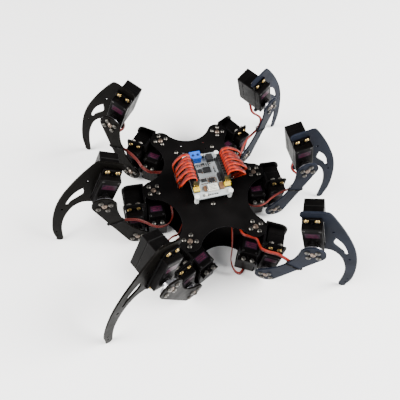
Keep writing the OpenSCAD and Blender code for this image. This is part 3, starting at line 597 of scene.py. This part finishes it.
def add_servo(build, matrix):
    """Three-part case with seams, ribbed ears, gear bosses, lead gland, case screws and a label."""
    half = SERVO_W / 2
    case, gland, screw = servo_slot(CASE), servo_slot(HEADER), servo_slot(CASE_SCREW)
    build.box((-SHAFT_IN, -half, 0), (SERVO_FAR, half, LOW_SEAM[0]), case, 0.7, matrix)
    low = (-SHAFT_IN + CORE_IN, -half + CORE_IN, CORE_FOOT)
    high = (SERVO_FAR - CORE_IN, half - CORE_IN, CORE_TOP)
    build.box(low, high, case, 0.4, matrix)
    build.box((-SHAFT_IN, -half, LOW_SEAM[1]), (SERVO_FAR, half, HIGH_SEAM[0]), case, 0.5, matrix)
    build.box((-SHAFT_IN, -half, HIGH_SEAM[1]), (SERVO_FAR, half, SERVO_H), case, 0.8, matrix)
    build.box((NEAR_EAR, -half + 0.6, EAR_Z), (FAR_EAR, half - 0.6, EAR_Z + EAR_T), case, 0.45, matrix)
    for x0, x1 in ((-SHAFT_IN - 2.6, -SHAFT_IN + 0.4), (SERVO_FAR - 0.4, SERVO_FAR + 2.6)):
        build.box((x0, -0.8, EAR_Z + EAR_T - 0.1), (x1, 0.8, EAR_Z + EAR_T + 2), case, 0.3, matrix)
    for x, y in EAR_SPOTS:
        rim = [(3.9, EAR_Z + 0.1), (3.9, EAR_Z + EAR_T + 0.001), (3.6, EAR_Z + EAR_T + 0.012)]
        spot = matrix @ Matrix.Translation((x, y, 0)) @ Matrix.Diagonal((0.6, 0.6, 1, 1))
        build.lathe(rim, case, 20, spot)
    boss = [(6.4, SERVO_H - 1), (6.4, BOSS_TOP - 0.4), (6.0, BOSS_TOP), (3.4, BOSS_TOP),
            (3.3, BOSS_TOP - 0.3)]
    build.lathe(boss, case, 32, matrix)
    idler = [(3.4, SERVO_H - 1), (3.4, BOSS_TOP - 1.2), (3.1, BOSS_TOP - 0.9)]
    build.lathe(idler, case, 20, matrix @ Matrix.Translation((IDLER_X, 0, 0)))
    build.box(GLAND_LOW, GLAND_HIGH, gland, 0.5, matrix)
    for z in (3.9, 5.2):
        build.box((-SHAFT_IN - 1.95, -2.7, z - 0.25), (-SHAFT_IN - 0.3, 2.7, z + 0.25), gland, 0.12, matrix)
    for x, y in CASE_CORNERS:
        spot = matrix @ Matrix.Translation((x, y, 0))
        build.lathe([(1.25, SERVO_H - 1), (1.25, SERVO_H + 0.02), (1.0, SERVO_H + 0.1)], screw, 16, spot)
        # A bar of black case plastic across the head stands for the screw slot: painted shade.
        build.box((-0.9, -0.15, SERVO_H - 0.5), (0.9, 0.15, SERVO_H + 0.13), case, 0, spot)
        build.lathe([(1.45, 0.0), (1.45, 1.0), (1.0, 1.2)], screw, 16, spot)
    add_label(build, matrix, LABEL_FROM, LABEL_TO, SERVO_H)


def add_label(build, matrix, low, high, z):
    """A thin printed label: dark ground with a few blank bars along its length."""
    build.box((*low, z - 0.2), (*high, z + 0.06), servo_slot(LABEL), 0.05, matrix, 1)
    wide, tall = high[0] - low[0], high[1] - low[1]
    half = wide * 0.07
    for across, start, end in LABEL_BARS:
        x = low[0] + wide * across
        foot, head = low[1] + tall * start, low[1] + tall * end
        build.box((x - half, foot, z), (x + half, head, z + 0.09), servo_slot(LABEL_LIGHT), 0, matrix)


def add_ear_screws(build, matrix):
    """Brass button heads over the ears, each with a black hex disc as painted shade for its socket, and
    steel nuts behind the sheet.
    """
    top = EAR_Z + EAR_T + 0.02
    back = EAR_Z - PLATE_T
    base = back - 2.2 - 0.02
    head = [(2.45, top), (2.6, top + 0.25), (2.55, top + 0.8), (2.2, top + 1.35), (1.65, top + 1.75),
            (1.2, top + 1.8)]
    nut = [(2.8, base), (3.1, base + 0.3), (3.1, base + 1.9), (2.8, base + 2.2)]
    for x, y in EAR_SPOTS:
        spot = matrix @ Matrix.Translation((x, y, 0))
        build.lathe(head, servo_slot(BRASS), 24, spot)
        # Painted shade: a black hex disc for the socket.
        build.lathe([(1.15, top + 1.0), (1.15, top + 1.83)], servo_slot(CHIP), 6, spot)
        build.lathe([(1.5, back - 4.5), (1.5, back)], servo_slot(STEEL), 16, spot)
        build.lathe(nut, servo_slot(STEEL), 6, spot)


for leg in LEG_LIST:
    build = Build()
    add_servo(build, leg.hip_servo)
    add_servo(build, leg.femur_servo)
    pair = build.piece("servo_pair_" + leg.name, leg.body("coxa"), "servo_case", SERVO_LOOK)
    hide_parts("coxa_servos_" + leg.name)
    build = Build()
    add_servo(build, leg.knee_servo)
    add_ear_screws(build, leg.knee_servo)
    knee = build.piece("knee_servo_" + leg.name, leg.body("tibia"), "servo_case", SERVO_LOOK)
    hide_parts("tibia_servo_" + leg.name)

# ---- controller board details ----


def board_point(x, y):
    """Frame at a place on the board's upper face, from the board's middle."""
    return Matrix.Translation((BOARD_AT[0] + x, BOARD_AT[1] + y, BOARD_TOP))


ON_BOARD = board_point(0, 0)
BOARD_LOOK = (TIN, CHIP, CERAMIC, GOLD, SILK, SOCKET, YELLOW, STEEL)
board_slot = BOARD_LOOK.index


def add_chip_legs(build, x, y, wide, long, pitch, reach=1.1):
    """Gull-wing legs down both long sides of a chip."""
    count = int((long - 1) / pitch)
    half = pitch * 0.22
    for i in range(count):
        at = y - (count - 1) * pitch / 2 + i * pitch
        for side in (-1, 1):
            x0 = x + side * wide / 2
            for start, end, height in ((0.05, reach, 0.22), (0.1, 0.3, 0.75)):
                low, high = sorted((x0 - side * start, x0 + side * end))
                build.box((low, at - half, 0.02), (high, at + half, height), board_slot(TIN), 0, ON_BOARD)


# Chips with legs: middle, width, length, pitch of the legs, and how far these reach
LEGGED_CHIPS = ((1.5, 6.5, 9, 8, 0.8, 1.1), (-7, 6.5, 5, 5, 0.95, 0.8), (-6, -8, 6, 4, 0.95, 0.8),
                (3, -9, 7, 5, 0.8, 0.9))
# Rows of small parts: first place, step, number, and their materials
SMALL_PARTS = ((-9.5, 15.6, 2.5, 0, 8, (CHIP, CHIP, CERAMIC)), (-8.2, 13.5, 2.8, 0, 6, (CHIP, CERAMIC)),
               (-11.2, 10.5, 0, -2.1, 7, (CHIP,)), (-9, -5.6, 2.7, 0, 7, (CERAMIC,)),
               (-9, -12.6, 2.7, 0, 7, (CERAMIC, CERAMIC, CHIP)), (-1.4, -8.6, 0, -2.0, 2, (CERAMIC,)),
               (8.2, -7.5, 0, -2.2, 3, (CERAMIC,)), (-5, 3.2, 2.6, 0, 3, (CHIP, CERAMIC)),
               (10.8, 9.0, 0, -2.4, 4, (CHIP, CERAMIC)), (-7, -28.8, 2.8, 0, 5, (CERAMIC, CHIP)))
# Printed lines on the board and blank bars on the pale module, as x0, y0, x1, y1, with no lettering
PRINTED_LINES = ((-9.5, 11.9, 9.5, 12.2), (-10, -14.6, 10, -14.3), (-10.2, -3.6, 9.6, -3.3),
                 (-10, -27.3, 9, -27.0), (-3.5, 1.0, 6.5, 1.3))
MODULE_BARS = ((-3.5, -18.2, 4.5, -17.6), (-3.5, -20.2, 1.0, -19.5), (2.4, -20.2, 5.6, -19.5),
               (-3.5, -22.2, 3.2, -21.6), (-3.5, -24.2, 5.6, -23.4))
MODULE_TOP = 4.0
TERMINAL_X, TERMINAL_Y = (-11.5, -5.5), 24.5
PIN_PITCH, PIN_HALF, PIN_H = 2.54, 0.32, 8.6


def chip_choice(centre):
    """Chips: 1 the pale module, 2 the brown parts beside it, 0 the others."""
    x, y = centre.x / MM - BOARD_AT[0], centre.y / MM - BOARD_AT[1]
    if y < -16:
        return 1 if -5.5 < x < 7.5 else 2
    return 0


finish_node("board_chips", CHIP, SOCKET, CERAMIC, choose=chip_choice)


def add_small_parts(build):
    """Chip legs, and the resistors and capacitors with their two ends."""
    for chip in LEGGED_CHIPS:
        add_chip_legs(build, *chip)
    random.seed(7)
    for x, y, step_x, step_y, count, kinds in SMALL_PARTS:
        for i in range(count):
            px, py = x + step_x * i, y + step_y * i
            wide = random.uniform(0.7, 1.0)
            body = board_slot(random.choice(kinds))
            build.box((px - wide, py - 0.6, 0.02), (px + wide, py + 0.6, 0.75), body, 0.08, ON_BOARD)
            for side in (-1, 1):
                low, high = sorted((px + side * (wide - 0.1), px + side * (wide + 0.25)))
                build.box((low, py - 0.62, 0.02), (high, py + 0.62, 0.72), board_slot(TIN), 0.05, ON_BOARD)


def add_print(build):
    """Printed lines, a row of printed fields, and the module's bars."""
    ink = board_slot(SILK)
    for x0, y0, x1, y1 in PRINTED_LINES:
        build.box((x0, y0, -0.05), (x1, y1, 0.03), ink, 0, ON_BOARD)
    for i in range(8):
        x = -9.5 + 2.4 * i
        build.box((x, 17.2, -0.05), (x + 1.6, 17.9, 0.03), ink, 0, ON_BOARD)
    for x0, y0, x1, y1 in MODULE_BARS:
        build.box((x0, y0, MODULE_TOP - 0.1), (x1, y1, MODULE_TOP + 0.04), ink, 0, ON_BOARD)


def add_sockets(build):
    """Crystal, solder strip, push button and a small white socket."""
    metal, black, white = board_slot(TIN), board_slot(CHIP), board_slot(SOCKET)
    crystal = [(1.9, 0.1), (2.1, 0.3), (2.1, 3.0), (1.8, 3.3)]
    build.lathe(crystal, metal, 20, board_point(-4.5, -21.5) @ Matrix.Diagonal((1, 1.9, 1, 1)))
    build.box((-13.3, -30.2, 0.05), (-5.4, -26.6, 0.3), metal, 0.05, ON_BOARD)
    build.box((-1.5, 25.2, 0.02), (3.6, 30.2, 3.0), black, 0.35, ON_BOARD)
    build.lathe([(1.6, 2.9), (1.6, 4.2), (1.3, 4.4)], white, 16, board_point(1.05, 27.7))
    build.box((-10.6, -29.8, 0.02), (-7.6, -27.4, 2.3), white, 0.2, ON_BOARD)


def add_terminal_screws(build):
    """Slotted screws and wire clamps of the power terminal."""
    for x in TERMINAL_X:
        screw = board_point(x, TERMINAL_Y)
        build.lathe([(1.8, 6.2), (1.8, 8.6), (1.5, 8.9)], board_slot(STEEL), 20, screw)
        # A black bar across the head stands for the slot: painted shade.
        build.box((-1.6, -0.28, 8.2), (1.6, 0.28, 8.93), board_slot(CHIP), 0, screw)
        build.box((x - 1.7, 26.4, 1.3), (x + 1.7, 27.0, 4.7), board_slot(STEEL), 0.1, ON_BOARD)


def add_bare_pins(build):
    """Bare pins at the rear ends of both headers, in yellow strips."""
    for side in (-1, 1):
        x = side * HEADER_X
        low, high = (x - 3.7, -22.9, HEADER_H - 0.1), (x + 3.7, -18.2, HEADER_H + 3.4)
        build.box(low, high, board_slot(YELLOW), 0.25, ON_BOARD)
        for column in (-1, 0, 1):
            for row in range(2):
                px, py = x + PIN_PITCH * column, -21.8 + PIN_PITCH * row
                low = (px - PIN_HALF, py - PIN_HALF, HEADER_H)
                high = (px + PIN_HALF, py + PIN_HALF, HEADER_H + PIN_H)
                build.box(low, high, board_slot(GOLD), 0.12, ON_BOARD)


def board_details():
    """Everything on the board that the CAD leaves out, as one piece."""
    build = Build()
    add_small_parts(build)
    add_print(build)
    add_sockets(build)
    add_terminal_screws(build)
    add_bare_pins(build)
    build.piece("board_parts", "chassis", "chip", BOARD_LOOK)


board_details()

# ---- leads ----

WIRE_R = 0.67
WIRE_PITCH = 1.26
RIBBON_LOOK = (ORANGE, RED, BROWN)
# Leg leads: the same wires with painted shade, lighter on the right legs and deeper on the left.
RIGHT_LEG_PAINTED_SHADE_LOOK = (ORANGE_PAINTED_SHADE, RED, BROWN)
LEFT_LEG_PAINTED_DEEP_SHADE_LOOK = (ORANGE_PAINTED_DEEP_SHADE, RED_PAINTED_DEEP_SHADE, BROWN)
SLOT_RIGHT_X, SLOT_LEFT_X, SLOT_Y = 36.0, 31.0, 8.0
SLOT_ROW, SLOT_PITCH = 2.0, 2.6
LEAD_GAP = 0.05
# Where a lead leaves its servo: height over the servo's foot, and y and z where the shaft lies along y
GLAND_H = 4.7
GLAND_Y = SIDE_BASE_Y + GLAND_H
GLAND_Z = -SHAFT_IN - 1.85
# Heights at which a lead nears its slot from below
NEAR_SLOT = (45, 49.2)
# Points of the curve for each stretch of a route
CURVE_STEPS = 7
SLACK_STEPS = 9

# Ways inside the body to the slots, as if on the right: for the front, middle, right rear and
# left rear leg, the leads of the hip, femur and knee servos
INSIDE = (
    (((29, 48, 33), (31, 28, 34)), ((29.5, 48, 37.5), (28, 28, 39)), ((35.5, 29, 41),)),
    (((40, 3, 38), (34, 4, 41)), ((44, 9, 44),), ((41, -7, 33), (34, 1, 31), (30, 9, 36))),
    (((34, -46, 40), (36, -18, 42)), ((13, -72, 43), (17, -56, 45), (24, -38, 46), (31, -18, 44)),
     ((25, -60, 40), (30, -40, 34), (35, -15, 34), (37, -4, 38))),
    (((34, -46, 40), (36, -18, 42)), ((30, -46, 44), (31, -18, 42)),
     ((41, -47, 39), (32, -34, 36), (31, -12, 35))),
)
RIGHT_REAR, LEFT_REAR = 2, 5


def heading_at(points, i):
    """Direction of the path at its point i."""
    return (points[min(i + 1, len(points) - 1)] - points[max(i - 1, 0)]).normalized()


def smooth(points, steps):
    """Hermite curve through the points, with its first and last stretch straight."""
    inner = points[1:-1]
    made = [points[0]]
    for i, (b, c) in enumerate(zip(inner, inner[1:])):
        leave, arrive = heading_at(inner, i), heading_at(inner, i + 1)
        span = (c - b).length
        for j in range(steps):
            t = j / steps
            bend = span * t * (1 - t) * ((1 - t) * leave - t * arrive)
            made.append(b + (c - b) * t * t * (3 - 2 * t) + bend)
    return made + [inner[-1], points[-1]]


def step_of(control):
    """Index of a control point in the curve that smooth makes."""
    return 1 + (control - 1) * CURVE_STEPS


def level(vector, ahead):
    """The part of vector that is square to ahead, of length 1."""
    flat = vector - ahead * vector.dot(ahead)
    return flat.normalized()


def ribbon_sides(points, first, last):
    """Sideways directions of a flat lead that twists evenly from the first to the last given."""
    ahead = [heading_at(points, i) for i in range(len(points))]
    sides = [level(first, ahead[0])]
    for i in range(1, len(points)):
        sides.append(level(sides[-1], ahead[i]))
    goal = level(last, ahead[-1])
    angle = math.atan2(sides[-1].cross(goal).dot(ahead[-1]), sides[-1].dot(goal))
    if angle > math.pi / 2:
        angle -= math.pi
    if angle < -math.pi / 2:
        angle += math.pi
    turned = []
    for i, side in enumerate(sides):
        turn = Matrix.Rotation(angle * i / (len(points) - 1), 3, ahead[i])
        turned.append(turn @ side)
    return turned


def add_ribbon(build, points, sides, hand):
    """Three wires side by side; hand -1 puts the brown one first."""
    for n, offset in enumerate((-WIRE_PITCH, 0.0, WIRE_PITCH)):
        build.strand(points, sides, hand * offset, WIRE_R, n)


def slot_at(leg, i):
    """Place of hole i in the row of deck slots on the leg's side."""
    row = SLOT_ROW * (1 if i % 2 == 0 else -1)
    middle = SLOT_RIGHT_X if leg.side > 0 else SLOT_LEFT_X
    return leg.side * (middle + row), SLOT_Y + SLOT_PITCH * (i - 4)


def place(leg, servo):
    """Which plug and slot hole of its side a servo's lead has, counted from the rear."""
    return 3 * (2 - leg.index % 3) + servo


def inside(leg, servo):
    """The lead's points inside the body."""
    row = 3 if leg.index == LEFT_REAR else leg.index % 3
    return [Vector((leg.side * p[0], p[1], p[2])) for p in INSIDE[row][servo]]


def to_slot(leg, servo):
    """The lead's last points, straight up to its slot hole."""
    x, y = slot_at(leg, place(leg, servo))
    return [Vector((x, y, z)) for z in (*NEAR_SLOT, DECK_UNDER - LEAD_GAP)]


def hip_way(leg):
    """The hip lead's points on the coxa."""
    points = [(0, GLAND_Z, HIP_BASE_Z + GLAND_H), (0, GLAND_Z - 4, HIP_BASE_Z + GLAND_H), (-4, -19.5, 15),
              (-10, -20, 24), (-15, -16, 33)]
    if leg.index % 3 < 2:
        points.append((-17, -9, 39))
    return [leg.leg @ Vector(p) for p in points]


def femur_way(leg):
    """The femur lead's points on the coxa, on the right rear leg in a loop under the bracket."""
    points = [(COXA_LEN, GLAND_Y, FEMUR_Z + GLAND_Z), (COXA_LEN, GLAND_Y, 4.7)]
    if leg.index == RIGHT_REAR:
        points += [(COXA_LEN - 2, GLAND_Y + 0.5, 2.5), (17.5, 2, 1.8), (13, 11, 1.8), (7, 19, 1.8),
                   (1.5, 30, 1.9), (-1, 38, 4), (-5, 43.5, 11), (-12, 44, 20), (-18, 38, 30), (-20, 28, 38)]
    else:
        points += [(COXA_LEN, GLAND_Y - 2, 2.8), (COXA_LEN - 0.5, -9, 2.2), (COXA_LEN - 1, -14, 4.5),
                   (22, -16, 13), (16, -16.5, 25), (13.2, -15, 36), (8, -13.5, 43), (-2, -13.5, 46.8)]
        if leg.index != LEFT_REAR:
            points.append((-13, -7, 46.8))
    return [leg.leg @ Vector(p) for p in points]


def knee_way(leg):
    """Points on the tibia, on the femur and on the coxa."""
    tibia = [(0, GLAND_Y, GLAND_Z), (0, GLAND_Y, GLAND_Z - 7)]
    if leg.index == LEFT_REAR:
        tibia += [(-4, GLAND_Y - 3, GLAND_Z - 14)]
        femur = [(54, -9, -10.5), (46, -12, -3.5), (38, -14, 3)]
        coxa = [(30, -16, 49.5), (20, -17.5, 47), (10, -18.5, 46.5), (2, -18, 44)]
    else:
        tibia += [(-3, GLAND_Y + 6, GLAND_Z - 13), (-10, GLAND_Y + 17, GLAND_Z - 14)]
        if leg.index == RIGHT_REAR:
            femur = [(55, 29, -9), (44, 34, -5), (39, 31, 4)]
            coxa = [(29, 28, 54), (21, 27, 51.5), (15, 25.5, 49.8), (11, 23, 48.2), (8, 17.5, 46.3),
                    (4.5, 12, 45.9), (-3, 11, 45.6), (-12, 9, 44.5)]
        else:
            femur = [(55, 29, -9), (44, 34, -5), (36, 33.5, 1)]
            coxa = [(24, 34.3, 49), (14, 37, 44), (6, 41, 41), (-4, 42.5, 39), (-13, 38, 37)]
            if leg.index % 3 > 0:
                coxa += [(-18.5, 28, 36), (-19, 14, 41)]
    return ([leg.tibia @ Vector(p) for p in tibia], [leg.femur @ Vector(p) for p in femur],
            [leg.leg @ Vector(p) for p in coxa])


def direction(matrix, vector):
    """The vector turned by the matrix, of length 1."""
    return (matrix.to_3x3() @ Vector(vector)).normalized()


BLENDS = []
Y_AXIS = Vector((0, 1, 0))
# A point in a leg frame, and a share of the way from it to the slots; these give the near and far points
# kept with the body leads in BLENDS
BEND_FROM, BEND_SHARE = (-4, 0, 35), 0.6


def leg_leads(leg):
    """The three flat leads of a leg, cut where they pass from one body to the next."""
    lead_node = "right_leg_leads" if leg.side > 0 else "left_leg_leads"
    # The leg leads take the wire colours with painted shade.
    look = RIGHT_LEG_PAINTED_SHADE_LOOK if leg.side > 0 else LEFT_LEG_PAINTED_DEEP_SHADE_LOOK
    out = direction(leg.leg, (1, 0, 0))
    hand = 1 if leg.index == RIGHT_REAR else -1
    short = Build()
    for servo, way in ((0, hip_way(leg)), (1, femur_way(leg))):
        points = smooth(way + inside(leg, servo) + to_slot(leg, servo), CURVE_STEPS)
        add_ribbon(short, points, ribbon_sides(points, out, Y_AXIS), hand)
    tibia, femur, coxa = knee_way(leg)
    controls = tibia + femur + coxa + inside(leg, 2) + to_slot(leg, 2)
    points = smooth(controls, CURVE_STEPS)
    sides = ribbon_sides(points, direction(leg.tibia, (1, 0, 0)), Y_AXIS)
    tie = step_of(len(tibia) + 1)
    turn = step_of(len(tibia) + len(femur) + 2)
    add_ribbon(short, points[turn:], sides[turn:], hand)
    near = leg.leg @ Vector(BEND_FROM)
    far = near + (to_slot(leg, 1)[0] - near) * BEND_SHARE
    pieces = [("body_leads_", short, "coxa", None, near, far)]
    upper = Build()
    add_ribbon(upper, points[tie:turn + 1], sides[tie:turn + 1], hand)
    pieces.append(("femur_lead_", upper, "femur", "coxa", femur[2], coxa[1]))
    lower = Build()
    add_ribbon(lower, points[:tie + 1], sides[:tie + 1], hand)
    pieces.append(("knee_lead_", lower, "tibia", "femur", tibia[1], femur[0]))
    for name, build, a, b, start, end in pieces:
        made = build.piece(name + leg.name, None, "lead_insulation", look)
        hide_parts(lead_node)
        BLENDS.append((made, leg.body(a), leg.body(b) if b else "chassis", start * MM, end * MM))


# Cable tie round the knee lead and the waist of the femur plate, as y and z at TIE_X
TIE_X = 44.0
TIE_LOOP = ((40.0, -4.5), (40.0, -12.6), (38.8, -13.4), (37.2, -13.2), (31.7, -7.6), (31.5, -5.0),
            (31.7, -2.6), (36.8, 3.4), (38.6, 4.0), (40.0, 3.0), (40.0, -4.5))
TIE_STRANDS, TIE_STRAND_R = (-0.7, 0.0, 0.7), 0.45
TIE_HEAD = (TIE_X - 1.6, 36.2, -16.4), (TIE_X + 1.6, 38.8, -13.2)


def add_tie(leg):
    """The tie's band, as three thin strands side by side, and its head."""
    build = Build()
    loop = [leg.femur @ Vector((TIE_X, y, z)) for y, z in TIE_LOOP]
    across = direction(leg.femur, (1, 0, 0))
    for offset in TIE_STRANDS:
        build.strand(loop, [across] * len(loop), offset, TIE_STRAND_R, 0, 6)
    build.box(*TIE_HEAD, 0, 0.4, leg.femur)
    build.piece("lead_tie_" + leg.name, leg.body("femur"), "plug_plastic", (TIE,))


def slack_way(leg, i):
    """Arch of a lead from its slot hole out over the deck's side and back down to its plug."""
    h = leg.side
    x, y = slot_at(leg, i)
    px, py = BOARD_AT[0] + h * HEADER_X, PLUG_FIRST + PLUG_PITCH * i
    b = i % 3
    out = x + h * (5 + 2 * b if h > 0 else 1 + b)
    plug_top = BOARD_TOP + HEADER_H + PLUG_H
    points = [(x, y, DECK_UNDER + LEAD_GAP), (x, y, DECK_TOP), (out, (y + py) / 2, 65), (out, py, 76),
              ((x + px) / 2 + h * 2, py, 86 + b), (px + h * 2, py, 85.5 + b), (px, py, plug_top + 2),
              (px, py, plug_top + LEAD_GAP)]
    return [Vector(p) for p in points]


def slack_leads(side, legs):
    """The nine arched leads of a side."""
    build = Build()
    for leg in legs:
        for servo in range(3):
            points = smooth(slack_way(leg, place(leg, servo)), SLACK_STEPS)
            sides = ribbon_sides(points, Y_AXIS, Y_AXIS)
            add_ribbon(build, points, sides, 1)
    made = build.piece(side + "_slack_ribbons", "chassis", "lead_insulation", RIBBON_LOOK)
    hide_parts(side + "_lead_slack")


for leg in LEG_LIST:
    leg_leads(leg)
    if leg.index != LEFT_REAR:
        add_tie(leg)
slack_leads("right", LEG_LIST[:3])
slack_leads("left", LEG_LIST[3:])
for made, a, b, start, end in BLENDS:
    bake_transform(made)

# ---- floor and light ----

FLOOR_HALF, FLOOR_Z = 6.0, -0.0002
SKY, SKY_STRENGTH = (0.95, 0.97, 1.0), 0.55
LIGHTS_AT = (0, 0, 0.05)
LIGHT_SIZE = 1.6


def make_floor():
    """Large sheet of pale paper just under the feet."""
    mesh = bpy.data.meshes.new("floor")
    half = FLOOR_HALF
    corners = [(-half, -half, 0), (half, -half, 0), (half, half, 0), (-half, half, 0)]
    mesh.from_pydata(corners, [], [(0, 1, 2, 3)])
    floor = bpy.data.objects.new("floor", mesh)
    floor.location.z = FLOOR_Z
    s = Shader("floor_paper", (0.90, 0.90, 0.90), 0.75)
    s.mottle(2.0, 0.01)
    mesh.materials.append(s.material)
    bpy.context.scene.collection.objects.link(floor)


def area_light(name, place_at, power, colour):
    """Soft round light that points at the robot."""
    data = bpy.data.lights.new(name, "AREA")
    data.shape = "DISK"
    data.size = LIGHT_SIZE
    data.energy = power
    data.color = colour
    light = bpy.data.objects.new(name, data)
    light.location = place_at
    aim = Vector(LIGHTS_AT) - Vector(place_at)
    light.rotation_euler = aim.to_track_quat("-Z", "Y").to_euler()
    bpy.context.scene.collection.objects.link(light)


def make_sky():
    """Even pale light from all round."""
    world = bpy.data.worlds.new("studio")
    world.use_nodes = True
    background = world.node_tree.nodes["Background"]
    background.inputs["Color"].default_value = rgba(SKY)
    background.inputs["Strength"].default_value = SKY_STRENGTH
    bpy.context.scene.world = world


make_floor()
make_sky()
area_light("key", (1.7, -0.5, 1.5), 210, (1.0, 0.99, 0.97))
area_light("fill", (-1.7, -0.2, 1.6), 160, (1.0, 0.98, 0.95))
